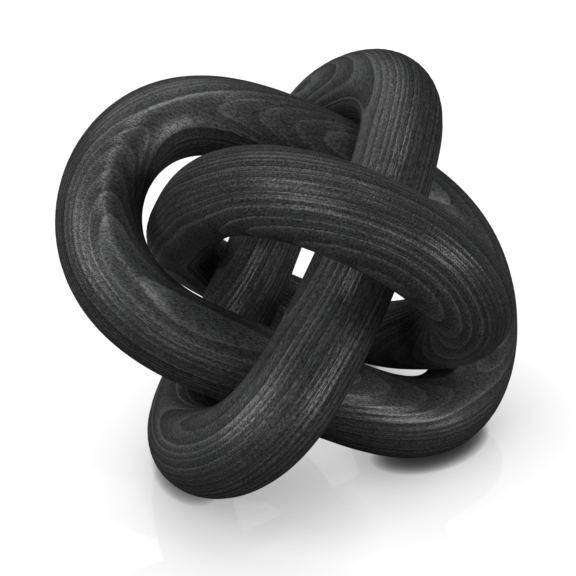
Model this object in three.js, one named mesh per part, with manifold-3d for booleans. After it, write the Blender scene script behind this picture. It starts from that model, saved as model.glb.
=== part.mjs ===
// Wooden chain link decor: three oval links of round section, closed through one another.
// Each link lies across the other two, and the knot stands on one end of each.
// Millimetres, +Z up, seen from -Y. The origin is on the floor, under the middle of the knot.
import * as THREE from 'three';
import { mergeVertices } from 'three/addons/utils/BufferGeometryUtils.js';
import Module from 'manifold-3d';

// Diameter of the round section of each link
const FACE_SECTION = 26.5;
const UPRIGHT_SECTION = 26.4;
const CROSS_SECTION = 24.2;

// Width of each link over the outside
const FACE_WIDTH = 110.5;
const UPRIGHT_WIDTH = 96.5;
const CROSS_WIDTH = 107.8;

// How much longer the opening of each link is than the link that passes through it
const FACE_PLAY = 4.1;
const UPRIGHT_PLAY = 4.2;
const CROSS_PLAY = 36.7;

// Outline of each link: 2 gives a plain oval, more gives longer straight sides
const FACE_FULLNESS = 3.7;
const UPRIGHT_FULLNESS = 6.2;
const CROSS_FULLNESS = 3.2;

// How far both ends of a link stand out of the plane of its middle
const FACE_BOW = 7.5;
const UPRIGHT_BOW = 6.6;
const CROSS_BOW = 2.8;

// How far the sides of a link are turned out of that plane at its ends, one up and one down
const FACE_TWIST = 0.5;
const UPRIGHT_TWIST = 1.8;
const CROSS_TWIST = -1.2;

// How far one side of a link lies ahead of its middle, as a share of the way out to that side.
// The other side lies behind by as much, so the oval is slanted.
const FACE_SKEW = 0.043;
const UPRIGHT_SKEW = 0.213;
const CROSS_SKEW = 0.076;

// Gaps
const SEAT_GAP = 0.3; // between links that lean on each other
const GLUE_GAP = 0.3; // between the two halves of a link

// Dowels across the glue joints
const DOWEL_DIAMETER = 8;
const DOWEL_LENGTH = 30;
const DOWEL_CHAMFER = 0.8;
const BORE_CLEARANCE = 0.3; // around the dowel
const BORE_END_ROOM = 1; // beyond each end of the dowel, for the glue

// Which way the long side of the face link points on the floor, in degrees from +X
const FACE_HEADING = 185.3;

// Facets
const SECTION_SIDES = 20;
const HALF_STEPS = 32;
const DOWEL_SIDES = 16;
const ARC_DIVISIONS = 1500;
const SAMPLES_PER_STEP = 4; // where clearances are measured

const WOOD = new THREE.MeshStandardMaterial({ color: 0x2b2c2d, roughness: 0.55, metalness: 0 });
const DOWEL_WOOD = new THREE.MeshStandardMaterial({ color: 0xb08a5c, roughness: 0.8, metalness: 0 });

// The links in the face link's frame: X along it, Y across it and Z through its opening.
// lean turns a link about those axes, in degrees; start is where its middle is tried first;
// falls is the way it slides until it leans on a link placed before it.
const LINKS = [
  {
    name: 'face_link',
    section: FACE_SECTION,
    width: FACE_WIDTH,
    play: FACE_PLAY,
    fullness: FACE_FULLNESS,
    bow: FACE_BOW,
    twist: FACE_TWIST,
    skew: FACE_SKEW,
    lean: [0, 0, 0],
    start: [0, 0, 0],
  },
  {
    name: 'upright_link',
    section: UPRIGHT_SECTION,
    width: UPRIGHT_WIDTH,
    play: UPRIGHT_PLAY,
    fullness: UPRIGHT_FULLNESS,
    bow: UPRIGHT_BOW,
    twist: UPRIGHT_TWIST,
    skew: UPRIGHT_SKEW,
    lean: [-5.4, 11.8, 6.7],
    start: [1, 0, 5],
    falls: new THREE.Vector3(0, -1, 0),
  },
  {
    name: 'cross_link',
    section: CROSS_SECTION,
    width: CROSS_WIDTH,
    play: CROSS_PLAY,
    fullness: CROSS_FULLNESS,
    bow: CROSS_BOW,
    twist: CROSS_TWIST,
    skew: CROSS_SKEW,
    lean: [-17.3, -4.5, 5.7],
    start: [0, -4.8, 3.5],
    falls: new THREE.Vector3(-1, 0, 0),
  },
];
const DIAGONAL = new THREE.Vector3(1, 1, 1).normalize();
const THIRD_TURN = (2 * Math.PI) / 3;

const wasm = await Module();
wasm.setup();

// Centre line of a link: a full-sided oval in X and Y, with both ends bowed towards +Z

function addOutline(link, index) {
  const passing = LINKS[(index + 2) % LINKS.length];
  link.halfWidth = (link.width - link.section) / 2;
  link.halfLength = (passing.width + link.play + link.section) / 2;
  link.sideLead = link.skew * link.halfWidth;
}

function linePoint(link, angle, target = new THREE.Vector3()) {
  const along = Math.sign(Math.cos(angle)) * Math.abs(Math.cos(angle)) ** (2 / link.fullness);
  const across = Math.sin(angle);
  const height = link.bow * along * along + link.twist * along * across;
  return target.set(link.halfLength * along + link.sideLead * across, link.halfWidth * across, height);
}

class HalfLine extends THREE.Curve {
  constructor(link) {
    super();
    this.link = link;
    this.arcLengthDivisions = ARC_DIVISIONS;
    const share = GLUE_GAP / 2 / link.halfLength;
    this.reach = Math.acos(share ** (link.fullness / 2));
  }

  getPoint(t, target) {
    return linePoint(this.link, this.reach * (2 * t - 1), target);
  }
}

// Points along the middle of the swept facets, all round a link
function facetLine(link) {
  const ring = new HalfLine(link).getSpacedPoints(HALF_STEPS);
  ring.push(...ring.map(({ x, y, z }) => new THREE.Vector3(-x, -y, z)));
  return ring.flatMap((p, i) => {
    const next = ring[(i + 1) % ring.length];
    return Array.from({ length: SAMPLES_PER_STEP }, (_, k) => p.clone().lerp(next, k / SAMPLES_PER_STEP));
  });
}

// Solids

function toSolid(geometry) {
  geometry.deleteAttribute('normal');
  geometry.deleteAttribute('uv');
  const merged = mergeVertices(geometry);
  const vertProperties = new Float32Array(merged.attributes.position.array);
  const triVerts = new Uint32Array(merged.index.array);
  return new wasm.Manifold(new wasm.Mesh({ numProp: 3, vertProperties, triVerts }));
}

function toGeometry(solid) {
  const mesh = solid.getMesh();
  const geometry = new THREE.BufferGeometry();
  geometry.setAttribute('position', new THREE.BufferAttribute(mesh.vertProperties, 3));
  geometry.setIndex(new THREE.BufferAttribute(mesh.triVerts, 1));
  geometry.computeVertexNormals();
  return geometry;
}

function roundSection(radius, sides) {
  const points = [];
  for (let i = 0; i < sides; i += 1) {
    const angle = (2 * Math.PI * i) / sides;
    points.push(new THREE.Vector2(radius * Math.cos(angle), radius * Math.sin(angle)));
  }
  return new THREE.Shape(points);
}

function boreGeometry(x, y) {
  const radius = DOWEL_DIAMETER / 2 + BORE_CLEARANCE;
  const length = DOWEL_LENGTH + 2 * BORE_END_ROOM;
  const bore = new THREE.CylinderGeometry(radius, radius, length, DOWEL_SIDES);
  return bore.rotateZ(Math.PI / 2).translate(x, y, 0);
}

// Half of a link: swept round the end at +X, flat where it is glued, with a blind bore in each face
function halfGeometry(link) {
  const tube = new THREE.ExtrudeGeometry(roundSection(link.section / 2, SECTION_SIDES), {
    steps: HALF_STEPS,
    extrudePath: new HalfLine(link),
  });
  let solid = toSolid(tube);
  for (const side of [-1, 1]) {
    solid = solid.subtract(toSolid(boreGeometry(side * link.sideLead, side * link.halfWidth)));
  }
  return toGeometry(solid);
}

function dowelGeometry() {
  const radius = DOWEL_DIAMETER / 2;
  const end = DOWEL_LENGTH / 2;
  const profile = [
    new THREE.Vector2(0, -end),
    new THREE.Vector2(radius - DOWEL_CHAMFER, -end),
    new THREE.Vector2(radius, DOWEL_CHAMFER - end),
    new THREE.Vector2(radius, end - DOWEL_CHAMFER),
    new THREE.Vector2(radius - DOWEL_CHAMFER, end),
    new THREE.Vector2(0, end),
  ];
  return new THREE.LatheGeometry(profile, DOWEL_SIDES).rotateZ(Math.PI / 2);
}

function linkGroup(link) {
  const group = new THREE.Group();
  const half = halfGeometry(link);
  const dowel = dowelGeometry();
  for (const [i, letter] of ['a', 'b'].entries()) {
    const side = i === 0 ? 1 : -1;
    const halfMesh = new THREE.Mesh(half, WOOD);
    halfMesh.name = `${link.name}_half_${letter}`;
    halfMesh.rotation.z = i * Math.PI;
    const dowelMesh = new THREE.Mesh(dowel, DOWEL_WOOD);
    dowelMesh.name = `${link.name}_dowel_${letter}`;
    dowelMesh.position.set(side * link.sideLead, side * link.halfWidth, 0);
    group.add(halfMesh, dowelMesh);
  }
  return group;
}

// Places of the links

// Turns a link across the others, and by a share of its own lean
function setTurn(link, index, share) {
  const [x, y, z] = link.lean.map((degrees) => THREE.MathUtils.degToRad(degrees * share));
  const lean = new THREE.Quaternion().setFromEuler(new THREE.Euler(x, y, z));
  const square = new THREE.Quaternion().setFromAxisAngle(DIAGONAL, index * THIRD_TURN);
  link.turn = lean.multiply(square);
  link.middle = new THREE.Vector3(...link.start);
  link.line = link.outline.map((p) => p.clone().applyQuaternion(link.turn));
}

// Least distance between two centre lines, less what their sections and the gap need,
// with the way from the first link to the second where they are closest
function clearance(one, other) {
  const between = new THREE.Vector3().subVectors(other.middle, one.middle);
  const step = new THREE.Vector3();
  const way = new THREE.Vector3();
  let least = Infinity;
  for (const p of one.line) {
    for (const q of other.line) {
      const squared = step.subVectors(q, p).add(between).lengthSq();
      if (squared < least) {
        least = squared;
        way.copy(step);
      }
    }
  }
  const apart = (one.section + other.section) / 2 + SEAT_GAP;
  return { room: Math.sqrt(least) - apart, way: way.normalize() };
}

// Pushes a link out of the links placed before it. Says whether it found a clear place.
function pushClear(link, placed) {
  for (let i = 0; i < 60; i += 1) {
    const contacts = placed.map((other) => clearance(other, link));
    if (contacts.every(({ room }) => room >= 0)) return true;
    for (const { room, way } of contacts) {
      if (room < 0) link.middle.addScaledVector(way, 1e-3 - room);
    }
  }
  return false;
}

// Slides a link the way it falls until it leans on a link placed before it
function seat(link, placed) {
  for (let i = 0; i < 60; i += 1) {
    const room = Math.min(...placed.map((other) => clearance(other, link).room));
    link.middle.addScaledVector(link.falls, Math.max(0, room));
  }
}

function placeLinks(share) {
  for (const [index, link] of LINKS.entries()) {
    setTurn(link, index, share);
    const placed = LINKS.slice(0, index);
    if (!pushClear(link, placed)) return false;
    if (link.falls) seat(link, placed);
  }
  return true;
}

// Leans the links as far as their openings allow, up to the leans named above
function layLinks() {
  const parts = 20;
  for (let i = parts; i >= 0; i -= 1) {
    if (placeLinks(i / parts)) return;
  }
}

// Way up: square to the plane that touches one end of each link from below
function findUp() {
  let up = new THREE.Vector3(1, 1, -1).normalize();
  for (let i = 0; i < 80; i += 1) {
    const low = LINKS.map(({ line, middle, section }) => {
      const lowest = line.reduce((best, p) => (p.dot(up) < best.dot(up) ? p : best));
      return lowest.clone().add(middle).addScaledVector(up, -section / 2);
    });
    const plane = new THREE.Plane().setFromCoplanarPoints(...low);
    const square = plane.normal.clone().multiplyScalar(Math.sign(plane.normal.dot(up)));
    up = up.lerp(square, 0.3).normalize();
  }
  return up;
}

function standOnFloor(knot) {
  const vertical = new THREE.Vector3(0, 0, 1);
  knot.quaternion.setFromUnitVectors(findUp(), vertical);
  const long = new THREE.Vector3(1, 0, 0).applyQuaternion(knot.quaternion);
  const turn = THREE.MathUtils.degToRad(FACE_HEADING) - Math.atan2(long.y, long.x);
  knot.quaternion.premultiply(new THREE.Quaternion().setFromAxisAngle(vertical, turn));
  const box = new THREE.Box3().setFromObject(knot, true);
  const centre = box.getCenter(new THREE.Vector3());
  knot.position.set(-centre.x, -centre.y, -box.min.z);
}

function build() {
  LINKS.forEach(addOutline);
  for (const link of LINKS) link.outline = facetLine(link);
  layLinks();
  const knot = new THREE.Group();
  for (const link of LINKS) {
    const part = linkGroup(link);
    part.quaternion.copy(link.turn);
    part.position.copy(link.middle);
    knot.add(part);
  }
  standOnFloor(knot);
  return knot;
}

const group = build();

export default group;
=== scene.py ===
"""Looks of the wooden chain link decor. Three black stained links of brushed wood stand on a pale floor."""
import math

import bpy
import numpy as np
from mathutils import Matrix, Vector


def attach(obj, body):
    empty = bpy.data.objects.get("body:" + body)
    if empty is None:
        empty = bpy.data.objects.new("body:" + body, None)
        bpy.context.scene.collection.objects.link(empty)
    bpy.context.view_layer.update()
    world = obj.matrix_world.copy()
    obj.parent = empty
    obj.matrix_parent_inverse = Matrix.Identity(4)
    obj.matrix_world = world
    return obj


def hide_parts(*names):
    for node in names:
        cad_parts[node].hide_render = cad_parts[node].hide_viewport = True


bl_info = {
    "name": "Chain link decor",
    "version": (1, 0, 0),
    "blender": (4, 5, 0),
    "location": "View3D > Sidebar > Chain link decor",
    "description": "Makes the wooden links, their finish and the stage of a chain link decor",
    "category": "Object",
}

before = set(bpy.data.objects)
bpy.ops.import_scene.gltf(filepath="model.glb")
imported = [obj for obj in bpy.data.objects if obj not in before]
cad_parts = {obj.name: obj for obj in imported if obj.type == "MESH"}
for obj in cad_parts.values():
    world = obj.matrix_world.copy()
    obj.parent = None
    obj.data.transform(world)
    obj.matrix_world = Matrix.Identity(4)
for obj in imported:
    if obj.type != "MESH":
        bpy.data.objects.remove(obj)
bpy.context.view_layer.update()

LINKS = ("face_link", "upright_link", "cross_link")
HALVES = ("a", "b")
LAMPS = ("left_lamp", "low_lamp", "front_lamp", "key_lamp", "top_lamp")
STAINED_WOOD = "black_stained_wood"
DOWEL_WOOD = "turned_dowel_wood"

# Values that the mesh carries for the wood's nodes

BOARD_ATTRIBUTE = "board_place"  # where a point lies in the board that its link was cut from
FLAT_ATTRIBUTE = "board_flat"  # 1 where the surface runs along the growth layers, 0 where it cuts them

MM = 0.001
WHITE = (1.0, 1.0, 1.0, 1.0)


# Properties


def length(name, description, default, **limits):
    return bpy.props.FloatProperty(
        name=name, description=description, default=default, subtype="DISTANCE", unit="LENGTH", **limits
    )


def angle(name, description, degrees):
    return bpy.props.FloatProperty(
        name=name, description=description, default=math.radians(degrees), subtype="ANGLE", unit="ROTATION"
    )


def number(name, description, default, **limits):
    return bpy.props.FloatProperty(name=name, description=description, default=default, **limits)


def colour(name, description, default):
    return bpy.props.FloatVectorProperty(
        name=name, description=description, default=default, subtype="COLOR", size=3, min=0.0, max=1.0
    )


def pointer(name, group):
    return bpy.props.PointerProperty(name=name, type=group)


def section_of(default):
    return length("Section", "Diameter of the round section", default, min=0.005)


def width_of(default):
    return length("Width", "Width of the link over the outside", default, min=0.02)


def play_of(default):
    return length("Play", "How much longer the opening is than the link that passes through it", default)


def fullness_of(default):
    return number("Fullness", "2 gives a plain oval, more gives longer straight sides", default, min=2.0)


def bow_of(default):
    return length("Bow", "How far both ends stand out of the plane of the middle", default)


def twist_of(default):
    return length("Twist", "How far the sides are turned out of that plane at the ends", default)


def skew_of(default):
    return number("Skew", "How far one side lies ahead, as a share of the way out to it", default)


def slope_of(way, default):
    return number(f"Slope {way}", f"Slope of the growth layers {way} the link", default)


def bend_of(way, default):
    return number(f"Bend {way}", f"Bend of the growth layers {way} the link, for each metre", default)


def warp_of(default):
    return number("Warp", "Twist of the growth layers from end to end, for each metre", default)


def start_of(default):
    return length("Start", "Height in the board at which a growth layer ends", default)


class FaceLinkSizes(bpy.types.PropertyGroup):
    """The large link whose opening faces the front."""

    section: section_of(26.5 * MM)
    width: width_of(110.5 * MM)
    play: play_of(4.1 * MM)
    fullness: fullness_of(3.7)
    bow: bow_of(7.5 * MM)
    twist: twist_of(0.5 * MM)
    skew: skew_of(0.043)
    slope_along: slope_of("along", -0.0057)
    slope_across: slope_of("across", 0.0248)
    bend_along: bend_of("along", 0.41)
    bend_across: bend_of("across", 3.54)
    warp: warp_of(2.0)
    start: start_of(-0.52 * MM)


class UprightLinkSizes(bpy.types.PropertyGroup):
    """The link that stands up at the back and comes down in front."""

    section: section_of(26.4 * MM)
    width: width_of(96.5 * MM)
    play: play_of(4.2 * MM)
    fullness: fullness_of(6.2)
    bow: bow_of(6.6 * MM)
    twist: twist_of(1.8 * MM)
    skew: skew_of(0.213)
    slope_along: slope_of("along", 0.058)
    slope_across: slope_of("across", -0.0106)
    bend_along: bend_of("along", -1.59)
    bend_across: bend_of("across", -2.05)
    warp: warp_of(1.1)
    start: start_of(0.25 * MM)


class CrossLinkSizes(bpy.types.PropertyGroup):
    """The link that lies across the middle."""

    section: section_of(24.2 * MM)
    width: width_of(107.8 * MM)
    play: play_of(36.7 * MM)
    fullness: fullness_of(3.2)
    bow: bow_of(2.8 * MM)
    twist: twist_of(-1.2 * MM)
    skew: skew_of(0.076)
    slope_along: slope_of("along", 0.0409)
    slope_across: slope_of("across", -0.0772)
    bend_along: bend_of("along", -0.629)
    bend_across: bend_of("across", 2.88)
    warp: warp_of(-0.75)
    start: start_of(-0.9 * MM)


class WoodFinish(bpy.types.PropertyGroup):
    """Colours and scale of the stained wood, and of the bare wood of the dowels."""

    stain: colour("Stain", "Colour of the stain in the soft wood", (0.0036, 0.0037, 0.0041))
    ridge: colour("Ridge", "Colour of the hard lines, rubbed back", (0.125, 0.127, 0.131))
    bare: colour("Bare wood", "Colour of the dowels between the lines", (0.42, 0.27, 0.14))
    bare_line: colour("Bare line", "Colour of the lines in the dowels", (0.25, 0.14, 0.06))
    layer: length("Layer", "Thickness of one growth layer", 1.67 * MM, min=0.0003)
    uneven: length("Uneven", "How much the growth layers differ in thickness", 0.22 * MM)
    wave: length("Wave", "Height of the slow waves in the growth layers", 0.16 * MM)
    relief: length("Relief", "Depth of the soft wood below the hard lines", 0.11 * MM)
    fibre_width: length("Fibre width", "Width of the brushed fibres", 0.46 * MM, min=0.0001)
    fibre_length: length("Fibre length", "Length of the brushed fibres", 3.6 * MM, min=0.0005)
    brushing: length("Brushing", "How deep the brush has cut the fibres", 0.22 * MM)


def lamp_group(name, doc, strength, spread, height, heading):
    """A property group for one soft lamp far away."""
    sizes = {
        "strength": number("Strength", "Light on a surface that faces the lamp", strength, min=0.0),
        "spread": angle("Spread", "Size of the lamp as seen from the knot", spread),
        "height": angle("Height", "Height of the lamp above the horizon", height),
        "heading": angle("Heading", "Side of the lamp, from the front round to the right", heading),
    }
    return type(name, (bpy.types.PropertyGroup,), {"__doc__": doc, "__annotations__": sizes})


LeftLamp = lamp_group("LeftLamp", "Large, on the left.", 2.3, 50.0, 34.0, -58.0)
LowLamp = lamp_group("LowLamp", "Very low, in front.", 0.36, 30.0, 7.0, 6.0)
FrontLamp = lamp_group("FrontLamp", "Low, in front and to the right.", 2.1, 36.0, 4.0, 60.0)
KeyLamp = lamp_group("KeyLamp", "Small, almost overhead.", 0.5, 7.0, 73.0, 55.0)
TopLamp = lamp_group("TopLamp", "Large, high up behind the knot.", 0.6, 50.0, 60.0, 212.0)


class StageSettings(bpy.types.PropertyGroup):
    """Floor, light and camera."""

    floor: colour("Floor", "Colour of the floor as the camera sees it", (0.2, 0.2, 0.202))
    floor_around: colour("Floor around", "Colour of the floor as it lights the knot", (0.07, 0.07, 0.07))
    # Floor fill is the floor's glow as the camera sees it, painted light that the painted shade darkens
    floor_fill: number("Floor fill", "Light that the floor shows away from the knot", 0.94, min=0.0)
    floor_gloss: number("Floor gloss", "Index of refraction of the floor's polish", 1.38, min=1.0)
    # Contact, shade and their powers set the painted shade in the floor's glow, at the feet and below the
    # knot
    contact: length("Contact", "How near the feet the floor grows dark", 5.5 * MM)
    contact_power: number("Contact power", "How steeply the floor grows dark at the feet", 2.8, min=0.0)
    shade: length("Shade", "How near the knot the floor is shaded", 38 * MM)
    shade_power: number("Shade power", "How steeply the floor grows dark below the knot", 0.72, min=0.0)
    room_light: number("Room light", "Strength of the light from all round", 0.03, min=0.0)
    left_lamp: pointer("Left lamp", LeftLamp)
    low_lamp: pointer("Low lamp", LowLamp)
    front_lamp: pointer("Front lamp", FrontLamp)
    key_lamp: pointer("Key lamp", KeyLamp)
    top_lamp: pointer("Top lamp", TopLamp)
    camera_place: bpy.props.FloatVectorProperty(
        name="Camera place",
        description="Place of the lens",
        default=(-0.0048147, -0.2834091, 0.1797252),
        subtype="TRANSLATION",
        unit="LENGTH",
        size=3,
    )
    camera_heading: angle("Camera heading", "Turn of the camera to the right", 0.027)
    camera_pitch: angle("Camera pitch", "How far the camera looks down", 24.694)
    camera_roll: angle("Camera roll", "Turn of the camera about its own axis", -0.279)
    camera_lens: bpy.props.FloatProperty(
        name="Lens", description="Focal length", default=58.928, unit="CAMERA", min=10.0
    )


class DecorSettings(bpy.types.PropertyGroup):
    """All sizes and colours of the chain link decor."""

    face_link: pointer("Face link", FaceLinkSizes)
    upright_link: pointer("Upright link", UprightLinkSizes)
    cross_link: pointer("Cross link", CrossLinkSizes)
    wood: pointer("Wood", WoodFinish)
    stage: pointer("Stage", StageSettings)


# Nodes


def put(tree, socket, value):
    if isinstance(value, bpy.types.NodeSocket):
        tree.links.new(value, socket)
    else:
        socket.default_value = value


def put_all(tree, sockets, values):
    for socket, value in zip(sockets, values):
        put(tree, socket, value)


def put_named(tree, made, values):
    """Sets or links the named inputs of a node. An underscore in a name stands for a space."""
    for label, value in values.items():
        put(tree, made.inputs[label.replace("_", " ")], value)


def add_node(tree, kind, **values):
    made = tree.nodes.new(kind)
    put_named(tree, made, values)
    return made


def maths(tree, operation, *values, clamp=False):
    made = tree.nodes.new("ShaderNodeMath")
    made.operation = operation
    made.use_clamp = clamp
    put_all(tree, made.inputs, values)
    return made.outputs[0]


def remap(tree, value, low, high, to_low=0.0, to_high=1.0, smooth=False):
    limits = {"From_Min": low, "From_Max": high, "To_Min": to_low, "To_Max": to_high}
    made = add_node(tree, "ShaderNodeMapRange", Value=value, **limits)
    made.interpolation_type = "SMOOTHSTEP" if smooth else "LINEAR"
    return made.outputs["Result"]


def noise(tree, place, scale, detail, roughness, dimensions="3D"):
    made = tree.nodes.new("ShaderNodeTexNoise")
    made.noise_dimensions = dimensions
    put(tree, made.inputs["W" if dimensions == "1D" else "Vector"], place)
    put_named(tree, made, {"Scale": scale, "Detail": detail, "Roughness": roughness})
    return made.outputs["Fac"]


def split(tree, vector):
    made = tree.nodes.new("ShaderNodeSeparateXYZ")
    put(tree, made.inputs[0], vector)
    return made.outputs["X"], made.outputs["Y"], made.outputs["Z"]


def join(tree, *parts):
    made = tree.nodes.new("ShaderNodeCombineXYZ")
    put_all(tree, made.inputs, parts)
    return made.outputs[0]


def attribute(tree, name, output):
    made = tree.nodes.new("ShaderNodeAttribute")
    made.attribute_name = name
    return made.outputs[output]


def mix_colour(tree, share, first, second):
    """Mixes two plain colours of the settings."""
    made = tree.nodes.new("ShaderNodeMix")
    made.data_type = "RGBA"
    put(tree, made.inputs["Factor"], share)
    ends = [socket for socket in made.inputs if socket.type == "RGBA"]
    put_all(tree, ends, ((*first, 1.0), (*second, 1.0)))
    return next(socket for socket in made.outputs if socket.type == "RGBA")


def bump(tree, shader, distance, height):
    made = add_node(tree, "ShaderNodeBump", Distance=distance, Height=height)
    put(tree, shader.inputs["Normal"], made.outputs[0])


def new_group(name, inputs, outputs):
    """A node group with named inputs and outputs. Returns its tree, its inputs and its output node."""
    tree = bpy.data.node_groups.new(name, "ShaderNodeTree")
    for labels, way in ((inputs, "INPUT"), (outputs, "OUTPUT")):
        for label, kind in labels.items():
            tree.interface.new_socket(name=label, in_out=way, socket_type=f"NodeSocket{kind}")
    return tree, tree.nodes.new("NodeGroupInput").outputs, tree.nodes.new("NodeGroupOutput").inputs


def place_group(tree, group, **values):
    """A group in a material, with its inputs set. Returns its outputs by name."""
    made = tree.nodes.new("ShaderNodeGroup")
    made.node_tree = group
    put_named(tree, made, values)
    return dict(made.outputs.items())


def new_material(name):
    """A new material without nodes. Returns it and its tree."""
    material = bpy.data.materials.new(name)
    material.use_nodes = True
    material.node_tree.nodes.clear()
    return material, material.node_tree


def principled(name, **values):
    """A new material with one Principled BSDF. Returns its tree and that node."""
    _, tree = new_material(name)
    shader = add_node(tree, "ShaderNodeBsdfPrincipled", **values)
    add_node(tree, "ShaderNodeOutputMaterial", Surface=shader.outputs[0])
    return tree, shader


# Growth layers. The first three are shares of a layer, from soft wood to the end of its hard line

GROWING = (0.1, 0.95)  # where the wood grows harder
HARDEST = (0.72, 0.95)  # where the hard line rises
ENDING = (0.93, 1.0)  # where the hard line breaks off
STRENGTHS = (0.4, 1.0)  # how strong the weakest and the strongest layer are
WAVER = 0.30 * MM  # how far the lines waver
WAVER_NOISE = (420.0, 3.0, 0.6)  # scale for each metre, detail and roughness
NOISE_MIDDLE = 0.5
FINE_DETAIL = 1.0
FINE_ROUGHNESS = 0.5
COARSE_LINES = (1500.0, 0.48, 0.68)  # scale for each metre, and the noise at which a line starts and is full
THIN_LINES = (3300.0, 0.45, 0.70)
COARSE_SHARE = 0.55  # of the fine lines
THIN_SHARE = 0.45


def layers_group():
    """Growth layers: each grows from soft to hard wood and ends at a sharp edge, with finer lines within."""
    tree, given, result = new_group(
        "Growth layers",
        {"Height": "Float", "Vector": "Vector", "Thickness": "Float"},
        {"Hard": "Float", "Ridge": "Float", "Fine": "Float"},
    )
    waver = maths(tree, "SUBTRACT", noise(tree, given["Vector"], *WAVER_NOISE), NOISE_MIDDLE)
    height = maths(tree, "MULTIPLY_ADD", waver, WAVER, given["Height"])
    count = maths(tree, "DIVIDE", height, given["Thickness"])
    share = maths(tree, "FRACT", count)
    each = tree.nodes.new("ShaderNodeTexWhiteNoise")
    each.noise_dimensions = "1D"
    put(tree, each.inputs["W"], maths(tree, "FLOOR", count))
    strength = remap(tree, each.outputs["Value"], 0.0, 1.0, *STRENGTHS)
    ends = remap(tree, share, *ENDING, 1.0, 0.0)
    for name, rise in (("Hard", GROWING), ("Ridge", HARDEST)):
        grown = maths(tree, "MULTIPLY", remap(tree, share, *rise, smooth=True), ends)
        put(tree, result[name], maths(tree, "MULTIPLY", grown, strength))
    coarse = maths(tree, "MULTIPLY", fine_lines(tree, height, *COARSE_LINES), COARSE_SHARE)
    thin = fine_lines(tree, height, *THIN_LINES)
    put(tree, result["Fine"], maths(tree, "MULTIPLY_ADD", thin, THIN_SHARE, coarse))
    return tree


def fine_lines(tree, height, scale, low, high):
    """Lines of uneven width that follow the growth layers."""
    lines = noise(tree, height, scale, FINE_DETAIL, FINE_ROUGHNESS, "1D")
    return remap(tree, lines, low, high, smooth=True)


# Brushed fibres. A noise is its scale, detail and roughness, and a range is the part of it that is used

FIBRE_NOISE = (1.0, 4.0, 0.62)
FIBRE_RANGE = (0.3, 0.7)
PORE_SCALE = 0.8  # cells for each fibre
PORE_SIZE = (0.12, 0.34)  # in cells, where a pore is full and where it ends
PORE_CHANCE = (0.72, 0.76)  # only cells whose random value is higher have a pore
CLOUD_NOISE = (38.0, 3.0, 0.55)
SPECKLE_NOISE = (2300.0, 2.0, 0.6)
SPECKLE_RANGE = (0.36, 0.64)
SPECKLE_DRAWN = 0.45  # width of a speckle as a share of its length


def fibres_group():
    """Brushed fibres and open pores, drawn out along the board, with slow clouds and fine speckles."""
    tree, given, result = new_group(
        "Brushed fibres",
        {"Vector": "Vector", "Fibre Width": "Float", "Fibre Length": "Float"},
        {"Fibre": "Float", "Pore": "Float", "Cloud": "Float", "Speckle": "Float"},
    )
    along, across, through = split(tree, given["Vector"])
    drawn = join(
        tree,
        maths(tree, "DIVIDE", along, given["Fibre Length"]),
        maths(tree, "DIVIDE", across, given["Fibre Width"]),
        maths(tree, "DIVIDE", through, given["Fibre Width"]),
    )
    put(tree, result["Fibre"], remap(tree, noise(tree, drawn, *FIBRE_NOISE), *FIBRE_RANGE))
    cells = add_node(tree, "ShaderNodeTexVoronoi", Vector=drawn, Scale=PORE_SCALE)
    chance = tree.nodes.new("ShaderNodeSeparateColor")
    put(tree, chance.inputs[0], cells.outputs["Color"])
    dot = remap(tree, cells.outputs["Distance"], *PORE_SIZE, 1.0, 0.0, smooth=True)
    rare = remap(tree, chance.outputs[0], *PORE_CHANCE)
    put(tree, result["Pore"], maths(tree, "MULTIPLY", dot, rare))
    put(tree, result["Cloud"], noise(tree, given["Vector"], *CLOUD_NOISE))
    speckled = join(tree, maths(tree, "MULTIPLY", along, SPECKLE_DRAWN), across, through)
    put(tree, result["Speckle"], remap(tree, noise(tree, speckled, *SPECKLE_NOISE), *SPECKLE_RANGE))
    return tree


def wood_grain(tree, finish, place, layers, fibres):
    """Both groups of the wood at a place in its board. Returns all their outputs by name."""
    _, _, height = split(tree, place)
    rings = place_group(tree, layers, Height=height, Vector=place, Thickness=finish.layer)
    strands = place_group(
        tree, fibres, Vector=place, Fibre_Width=finish.fibre_width, Fibre_Length=finish.fibre_length
    )
    return {**rings, **strands}


# Stained wood. How far the stain is rubbed back, from between the fibres to on top of them

HARD_RUBBED = (0.12, 0.28)
RIDGE_RUBBED = (0.14, 0.46)
FINE_RUBBED = (0.18, 0.62)
FIBRE_RUBBED = 0.08
PORE_RUBBED = 0.25
GROUND_RUBBED = (0.045, 0.21)  # of the whole surface, where it cuts the layers and where it lies flat
CLOUDS = (0.7, 1.15)  # factors on all of it, in the slow clouds
SPECKLES = (0.4, 1.6)  # and in the fine speckles

# Ranges of how flat the surface lies on the layers, and the factors from one end of them to the other

FLAT_GROUND = (0.1, 0.8)
FLAT_FINE = (0.1, 0.7, 1.0, 0.15)  # fine lines run together where the surface is flat
FLAT_HARD = (0.2, 0.9, 1.0, 1.9)  # and the broad layers show

CLOUD_RANGE = (0.3, 0.7)
ROUGHNESS = (0.0, 0.8, 0.62, 0.40)  # from stained to rubbed wood
COAT = (0.04, 0.55, 0.0, 1.0)  # the rubbed wood has a polish
RISES = {"Ridge": 0.8, "Fibre": 0.60, "Fine": 0.55, "Pore": -0.30, "Speckle": 0.25}  # shares of the brushing


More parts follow.
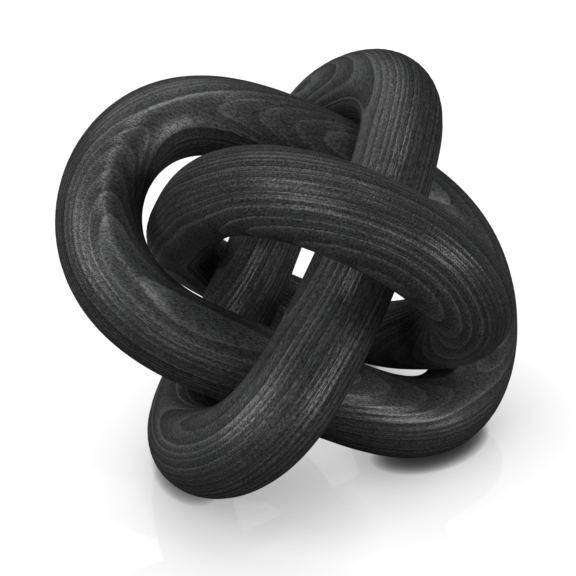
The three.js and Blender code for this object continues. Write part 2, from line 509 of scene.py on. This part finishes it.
def stained_wood(finish, layers, fibres):
    """Black stain over brushed wood, dark in the soft wood, with the hard lines and fibres rubbed."""
    tree, shader = principled(STAINED_WOOD, Specular_IOR_Level=0.16, Coat_Roughness=0.34)
    flat = attribute(tree, FLAT_ATTRIBUTE, "Fac")
    wood = wood_grain(tree, finish, attribute(tree, BOARD_ATTRIBUTE, "Vector"), layers, fibres)
    wood["Fine"] = maths(tree, "MULTIPLY", wood["Fine"], remap(tree, flat, *FLAT_FINE))
    wood["Hard"] = maths(tree, "MULTIPLY", wood["Hard"], remap(tree, flat, *FLAT_HARD))
    rubbed = rubbed_share(tree, wood, flat)
    put(tree, shader.inputs["Base Color"], mix_colour(tree, rubbed, finish.stain, finish.ridge))
    put(tree, shader.inputs["Roughness"], remap(tree, rubbed, *ROUGHNESS))
    put(tree, shader.inputs["Coat Weight"], remap(tree, rubbed, *COAT))
    height = 0.0
    for name, rise in RISES.items():
        height = maths(tree, "MULTIPLY_ADD", wood[name], rise, height)
    bump(tree, shader, finish.brushing, height)


def rubbed_share(tree, wood, flat):
    """How far the stain is rubbed back, 0 to 1."""

    def on_fibres(name, limits):
        return maths(tree, "MULTIPLY", wood[name], remap(tree, wood["Fibre"], 0.0, 1.0, *limits))

    layers = maths(tree, "ADD", on_fibres("Hard", HARD_RUBBED), on_fibres("Ridge", RIDGE_RUBBED))
    streaks = maths(tree, "MULTIPLY_ADD", wood["Fibre"], FIBRE_RUBBED, layers)
    lines = maths(tree, "ADD", streaks, on_fibres("Fine", FINE_RUBBED))
    rubbed = maths(tree, "ADD", lines, remap(tree, flat, *FLAT_GROUND, *GROUND_RUBBED))
    rubbed = maths(tree, "MULTIPLY", rubbed, remap(tree, wood["Cloud"], *CLOUD_RANGE, *CLOUDS))
    rubbed = maths(tree, "MULTIPLY", rubbed, remap(tree, wood["Speckle"], 0.0, 1.0, *SPECKLES))
    return maths(tree, "MULTIPLY_ADD", wood["Pore"], PORE_RUBBED, rubbed, clamp=True)


# Dowels

DOWEL_FIBRE_SHARE = 0.4  # of the lines in the bare wood
DOWEL_HARD_SHARE = 0.6
DOWEL_ROUGHNESS = (0.66, 0.52)
DOWEL_BUMP = 0.05 * MM


def dowel_wood(finish, layers, fibres):
    """Plain turned wood with its grain along the dowel."""
    tree, shader = principled(DOWEL_WOOD)
    place = tree.nodes.new("ShaderNodeTexCoord").outputs["Object"]
    wood = wood_grain(tree, finish, place, layers, fibres)
    hard = maths(tree, "MULTIPLY", wood["Hard"], DOWEL_HARD_SHARE)
    line = maths(tree, "MULTIPLY_ADD", wood["Fibre"], DOWEL_FIBRE_SHARE, hard)
    put(tree, shader.inputs["Base Color"], mix_colour(tree, line, finish.bare, finish.bare_line))
    put(tree, shader.inputs["Roughness"], remap(tree, line, 0.0, 1.0, *DOWEL_ROUGHNESS))
    bump(tree, shader, DOWEL_BUMP, wood["Fibre"])


# Shapes

STEPS = 440  # rings along half of a link
SIDES = 200  # points round its section
BORE = 8.3 * MM  # diameter of the blind bores for the dowels
BORE_DEPTH = 16.0 * MM
SEAM = 0.01 * MM  # between the meshes of the two halves
INSET = 0.12 * MM  # how far the brushed surface lies inside the sawn one
DEPTH_TRIM = 0.997  # the smooth sweep would stand past the flat facets of the CAD model at the back
HALF_TURN = (-1, -1, 1)  # turns half a into half b
TRIAL_POINTS = 4001  # from which the even points of a centre line are taken
END_BEND = 1.2  # radians round the end that get as many trial points again

# Waves in the board: their lengths along and across it, and where they begin

SLOW_WAVES = ((6.1 * MM, 19.0 * MM, 1.3), (13.0 * MM, -8.7 * MM, 4.1))
LAYER_WAVES = ((0.83 * MM, 0.7), (1.9 * MM, 2.2))  # through the layers
HARD_LINE = 0.85  # share of a growth layer at which its hard line stands highest


def cad_points(node):
    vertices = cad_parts[node].data.vertices
    points = np.empty(len(vertices) * 3)
    vertices.foreach_get("co", points)
    return points.reshape(-1, 3)


def link_place(link):
    """Where the CAD has a link: its middle and its axes, from the dowels between its halves."""
    ends = {half: cad_points(f"{link}_dowel_{half}") for half in HALVES}
    middles = {half: (points.min(0) + points.max(0)) / 2 for half, points in ends.items()}
    both = np.concatenate([points - points.mean(0) for points in ends.values()])
    along = np.linalg.svd(both, full_matrices=False)[2][0]
    far = cad_points(f"{link}_half_a").mean(0) - cad_points(f"{link}_half_b").mean(0)
    along *= np.sign(along @ far)
    across = middles["a"] - middles["b"]
    across -= (across @ along) * along
    across /= np.linalg.norm(across)
    middle = (middles["a"] + middles["b"]) / 2
    return middle, np.stack([along, across, np.cross(along, across)])


def outline(settings, link):
    """Half the length and half the width of a link's centre line.

    The link before it in LINKS passes through its opening, and the last one through that of the first.
    """
    passing = getattr(settings, LINKS[LINKS.index(link) - 1])
    own = getattr(settings, link)
    return (passing.width + own.play + own.section) / 2, (own.width - own.section) / 2


def half_line(settings, link):
    """Points evenly along half of a link's centre line, round the end at +X."""
    own = getattr(settings, link)
    half_length, half_width = outline(settings, link)
    shares = np.linspace(SEAM / 2 / half_length, 1, TRIAL_POINTS)
    side_bends = np.arccos(shares ** (own.fullness / 2))
    bends = np.unique(np.concatenate([side_bends, np.linspace(0, END_BEND, TRIAL_POINTS)]))
    bends = np.concatenate([-bends[::-1], bends[1:]])
    along = np.abs(np.cos(bends)) ** (2 / own.fullness)
    across = np.sin(bends)
    height = own.bow * along * along + own.twist * along * across
    ahead = half_length * along + own.skew * half_width * across
    trial = np.stack([ahead, half_width * across, height], 1)
    run = np.concatenate([[0], np.cumsum(np.linalg.norm(np.diff(trial, axis=0), axis=1))])
    even = np.linspace(0, run[-1], STEPS + 1)
    return np.stack([np.interp(even, run, trial[:, i]) for i in range(3)], 1)


def board_place(wood, own, points):
    """Where each point lies in the board: along it, across it, and its height in the growth layers."""
    along, across, height = points.T
    layers = height + own.slope_along * along + own.slope_across * across - own.start
    layers = layers + own.bend_along * along**2 + own.bend_across * across**2 + own.warp * along * across
    waves = sum(np.sin(along / far + across / wide + start) for far, wide, start in SLOW_WAVES)
    layers = layers + wood.wave * waves
    uneven = sum(np.sin(layers / thick + start) for thick, start in LAYER_WAVES)
    return np.stack([along, across, layers + wood.uneven * uneven], 1)


def join_rings(first, second):
    """Faces between two rings of points, from the number of the first point of each."""
    near = np.arange(SIDES)
    far = (near + 1) % SIDES
    return np.stack([first + near, first + far, second + far, second + near], 1)


def spokes_along(line):
    """The way ahead at each point of a line, and a ring of spokes across it."""
    ahead = np.gradient(line, axis=0)
    ahead[[0, -1]] = [1.0, 0.0, 0.0], [-1.0, 0.0, 0.0]
    ahead /= np.linalg.norm(ahead, axis=1)[:, None]
    up = np.array([0.0, 0.0, 1.0]) - ahead[:, 2:] * ahead
    up /= np.linalg.norm(up, axis=1)[:, None]
    side = np.cross(ahead, up)
    turns = np.linspace(0, 2 * np.pi, SIDES, endpoint=False)[:, None]
    return ahead, np.cos(turns) * side[:, None] + np.sin(turns) * up[:, None]


def half_mesh(settings, link):
    """Rings round half of a link, closed at each end by a flat face with a blind bore.

    In the link's own axes. Returns all points, the spokes of those on the swept surface, which come first,
    the faces, and the first points of the rings that have sharp edges.
    """
    own = getattr(settings, link)
    line = half_line(settings, link)
    ahead, spokes = spokes_along(line)
    points = [(line[:, None] + (own.section / 2 - INSET) * spokes).reshape(-1, 3)]
    quads = [join_rings(start, start + SIDES) for start in SIDES * np.arange(STEPS)]
    floors = []
    rims = [0, STEPS * SIDES]
    count = (STEPS + 1) * SIDES
    for rim, end, inward in ((0, 0, 1), (STEPS * SIDES, STEPS, -1)):
        mouth = line[end] + BORE / 2 * spokes[end]
        points += [mouth, mouth + BORE_DEPTH * inward * ahead[end]]
        walls = np.concatenate([join_rings(rim, count), join_rings(count, count + SIDES)])
        floor = count + SIDES + np.arange(SIDES)
        if inward > 0:
            walls, floor = walls[:, ::-1], floor[::-1]
        quads.append(walls)
        floors.append(floor.tolist())
        rims += [count, count + SIDES]
        count += 2 * SIDES
    faces = np.concatenate(quads).tolist() + floors
    return np.concatenate(points), spokes.reshape(-1, 3), faces, rims


def add_values(mesh, name, kind, field, values):
    """Gives each point of a mesh its value of a new attribute."""
    made = mesh.attributes.new(name, kind, "POINT")
    made.data.foreach_set(field, values.astype(np.float32).ravel())


def sharpen(mesh, rims):
    """Makes the edges along the rings that start at the given points sharp."""
    ring_of = np.full(len(mesh.vertices), -1)
    for index, rim in enumerate(rims):
        ring_of[rim : rim + SIDES] = index
    ends = np.empty(2 * len(mesh.edges), np.int32)
    mesh.edges.foreach_get("vertices", ends)
    first, second = ring_of[ends.reshape(-1, 2)].T
    sharp = mesh.attributes.new("sharp_edge", "BOOLEAN", "EDGE")
    sharp.data.foreach_set("value", (first >= 0) & (first == second))


def make_half(settings, link, half, material):
    """One half of a link, in place of the CAD half, with the soft wood sunk between the hard lines."""
    own, wood = getattr(settings, link), settings.wood
    points, spokes, faces, rims = half_mesh(settings, link)
    if half == "b":
        points = points * HALF_TURN
        spokes = spokes * HALF_TURN
    swept = slice(len(spokes))
    places = board_place(wood, own, points)
    flat = np.zeros(len(points))
    flat[swept] = spokes[:, 2] ** 2
    share = places[swept, 2] / wood.layer
    sunk = 0.5 - 0.5 * np.cos(2 * np.pi * (share - HARD_LINE))
    points[swept] -= wood.relief * sunk[:, None] * spokes
    middle, axes = link_place(link)
    placed = points @ axes + middle
    placed[:, 1] *= DEPTH_TRIM
    mesh = bpy.data.meshes.new(f"{link}_half_{half}_wood")
    mesh.from_pydata(placed.tolist(), [], faces)
    add_values(mesh, BOARD_ATTRIBUTE, "FLOAT_VECTOR", "vector", places)
    add_values(mesh, FLAT_ATTRIBUTE, "FLOAT", "value", flat)
    mesh.shade_smooth()
    sharpen(mesh, rims)
    mesh.materials.append(material)
    mesh.validate()
    piece = bpy.data.objects.new(mesh.name, mesh)
    bpy.context.scene.collection.objects.link(piece)
    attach(piece, link)
    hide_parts(f"{link}_half_{half}")


# Stage

FLOOR_SIZE = 12.0
SHADE_SAMPLES = 16
SENSOR_WIDTH = 36.0  # in millimetres, as the lens
CLIP_START = 0.01
CLIP_END = 50.0


def make_floor(scene, stage):
    half = FLOOR_SIZE / 2
    corners = [(-half, -half, 0), (half, -half, 0), (half, half, 0), (-half, half, 0)]
    mesh = bpy.data.meshes.new("floor")
    mesh.from_pydata(corners, [], [(0, 1, 2, 3)])
    mesh.materials.append(pale_floor(stage))
    floor = bpy.data.objects.new("floor", mesh)
    scene.collection.objects.link(floor)


def mix_shaders(tree, share, first, second):
    made = tree.nodes.new("ShaderNodeMixShader")
    put_all(tree, made.inputs, (share, first, second))
    return made.outputs[0]


def pale_floor(stage):
    """Pale and lightly polished as the camera sees it. The knot is lit by less of it from below."""
    material, tree = new_material("pale_floor")
    painted_shades = []
    # Painted shade: the floor's glow grows dark where the knot is near, at the feet and below the knot
    for reach, power in ((stage.contact, stage.contact_power), (stage.shade, stage.shade_power)):
        nearness = add_node(tree, "ShaderNodeAmbientOcclusion", Distance=reach)
        nearness.samples = SHADE_SAMPLES
        painted_shades.append(maths(tree, "POWER", nearness.outputs["AO"], power))
    fill = maths(tree, "MULTIPLY", maths(tree, "MULTIPLY", *painted_shades), stage.floor_fill)
    matt = add_node(tree, "ShaderNodeBsdfDiffuse", Color=(*stage.floor, 1.0))
    glow_with_painted_shade = add_node(tree, "ShaderNodeEmission", Color=WHITE, Strength=fill)
    bright = tree.nodes.new("ShaderNodeAddShader")
    put_all(tree, bright.inputs, (matt.outputs[0], glow_with_painted_shade.outputs[0]))
    polish = add_node(tree, "ShaderNodeBsdfGlossy", Color=WHITE, Roughness=0.0)
    gloss = add_node(tree, "ShaderNodeFresnel", IOR=stage.floor_gloss)
    seen = mix_shaders(tree, gloss.outputs[0], bright.outputs[0], polish.outputs[0])
    around = add_node(tree, "ShaderNodeBsdfDiffuse", Color=(*stage.floor_around, 1.0))
    path = tree.nodes.new("ShaderNodeLightPath")
    both = mix_shaders(tree, path.outputs["Is Camera Ray"], around.outputs[0], seen)
    add_node(tree, "ShaderNodeOutputMaterial", Surface=both)
    return material


def make_room(scene, stage):
    """White for the camera and in the floor's mirror image, and faint as light."""
    world = bpy.data.worlds.new("room")
    scene.world = world
    world.use_nodes = True
    tree = world.node_tree
    tree.nodes.clear()
    seen = add_node(tree, "ShaderNodeBackground", Color=WHITE)
    lights = add_node(tree, "ShaderNodeBackground", Color=WHITE, Strength=stage.room_light)
    path = tree.nodes.new("ShaderNodeLightPath")
    shown = maths(tree, "MAXIMUM", path.outputs["Is Camera Ray"], path.outputs["Is Singular Ray"])
    both = mix_shaders(tree, shown, lights.outputs[0], seen.outputs[0])
    add_node(tree, "ShaderNodeOutputWorld", Surface=both)


def make_lamp(scene, name, own):
    light = bpy.data.lights.new(name, "SUN")
    light.energy = own.strength
    light.angle = own.spread
    lamp = bpy.data.objects.new(name, light)
    flat = math.cos(own.height)
    way = Vector((flat * math.sin(own.heading), -flat * math.cos(own.heading), math.sin(own.height)))
    lamp.matrix_world = way.to_track_quat("Z", "Y").to_matrix().to_4x4()
    scene.collection.objects.link(lamp)


def make_camera(scene, stage):
    lens = bpy.data.cameras.new("camera")
    lens.lens = stage.camera_lens
    lens.sensor_width = SENSOR_WIDTH
    lens.clip_start = CLIP_START
    lens.clip_end = CLIP_END
    camera = bpy.data.objects.new("camera", lens)
    heading, pitch, roll = stage.camera_heading, stage.camera_pitch, stage.camera_roll
    flat = math.cos(pitch)
    ahead = Vector((math.sin(heading) * flat, math.cos(heading) * flat, -math.sin(pitch)))
    right = Vector((math.cos(heading), -math.sin(heading), 0.0))
    down = ahead.cross(right)
    turned_right = math.cos(roll) * right + math.sin(roll) * down
    turned_down = math.cos(roll) * down - math.sin(roll) * right
    axes = Matrix((turned_right, -turned_down, -ahead)).transposed().to_4x4()
    camera.matrix_world = Matrix.Translation(stage.camera_place) @ axes
    scene.collection.objects.link(camera)
    scene.camera = camera


# Operators


def finish_materials(finish):
    """The two wood materials, made once."""
    made = bpy.data.materials
    if STAINED_WOOD not in made:
        layers, fibres = layers_group(), fibres_group()
        stained_wood(finish, layers, fibres)
        dowel_wood(finish, layers, fibres)
    return made[STAINED_WOOD], made[DOWEL_WOOD]


class DECOR_OT_link_halves(bpy.types.Operator):
    """Makes the two halves of each link."""

    bl_idname = "decor.link_halves"
    bl_label = "Make link halves"

    def execute(self, context):
        settings = context.scene.decor
        wood, _ = finish_materials(settings.wood)
        for link in LINKS:
            for half in HALVES:
                make_half(settings, link, half, wood)
        return {"FINISHED"}


class DECOR_OT_dowels(bpy.types.Operator):
    """Gives the dowels between the halves their bare wood."""

    bl_idname = "decor.dowels"
    bl_label = "Finish dowels"

    def execute(self, context):
        _, bare = finish_materials(context.scene.decor.wood)
        for link in LINKS:
            for half in HALVES:
                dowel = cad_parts[f"{link}_dowel_{half}"]
                dowel.data.materials.clear()
                dowel.data.materials.append(bare)
        return {"FINISHED"}


class DECOR_OT_stage(bpy.types.Operator):
    """Makes the floor, the light and the white background."""

    bl_idname = "decor.stage"
    bl_label = "Make stage"

    def execute(self, context):
        stage = context.scene.decor.stage
        make_floor(context.scene, stage)
        make_room(context.scene, stage)
        for name in LAMPS:
            make_lamp(context.scene, name, getattr(stage, name))
        context.scene.view_settings.view_transform = "Standard"
        return {"FINISHED"}


class DECOR_OT_camera(bpy.types.Operator):
    """Places the camera where the photograph was taken from."""

    bl_idname = "decor.camera"
    bl_label = "Place camera"

    def execute(self, context):
        make_camera(context.scene, context.scene.decor.stage)
        return {"FINISHED"}


class DECOR_PT_panel(bpy.types.Panel):
    """Steps, sizes and colours of the chain link decor."""

    bl_idname = "DECOR_PT_panel"
    bl_label = "Chain link decor"
    bl_space_type = "VIEW_3D"
    bl_region_type = "UI"
    bl_category = "Chain link decor"

    def draw(self, context):
        settings = context.scene.decor
        for operator in OPERATORS:
            self.layout.operator(operator.bl_idname)
        for name in (*LINKS, "wood", "stage"):
            self.draw_group(name, getattr(settings, name))
        for name in LAMPS:
            self.draw_group(name, getattr(settings.stage, name))

    def draw_group(self, title, group):
        """A box with the values of one group. Each lamp has a box of its own."""
        box = self.layout.box()
        box.label(text=title.replace("_", " ").capitalize())
        for name in type(group).__annotations__:
            if name not in LAMPS:
                box.prop(group, name)


LAMP_GROUPS = (LeftLamp, LowLamp, FrontLamp, KeyLamp, TopLamp)
LINK_GROUPS = (FaceLinkSizes, UprightLinkSizes, CrossLinkSizes)
GROUPS = (*LINK_GROUPS, WoodFinish, *LAMP_GROUPS, StageSettings, DecorSettings)
OPERATORS = (DECOR_OT_link_halves, DECOR_OT_dowels, DECOR_OT_stage, DECOR_OT_camera)
CLASSES = (*GROUPS, *OPERATORS, DECOR_PT_panel)


def register():
    for made in CLASSES:
        bpy.utils.register_class(made)
    bpy.types.Scene.decor = bpy.props.PointerProperty(type=DecorSettings)


def unregister():
    del bpy.types.Scene.decor
    for made in reversed(CLASSES):
        bpy.utils.unregister_class(made)


def main():
    register()
    bpy.ops.decor.link_halves()
    bpy.ops.decor.dowels()
    bpy.ops.decor.stage()
    bpy.ops.decor.camera()


if __name__ == "__main__":
    main()
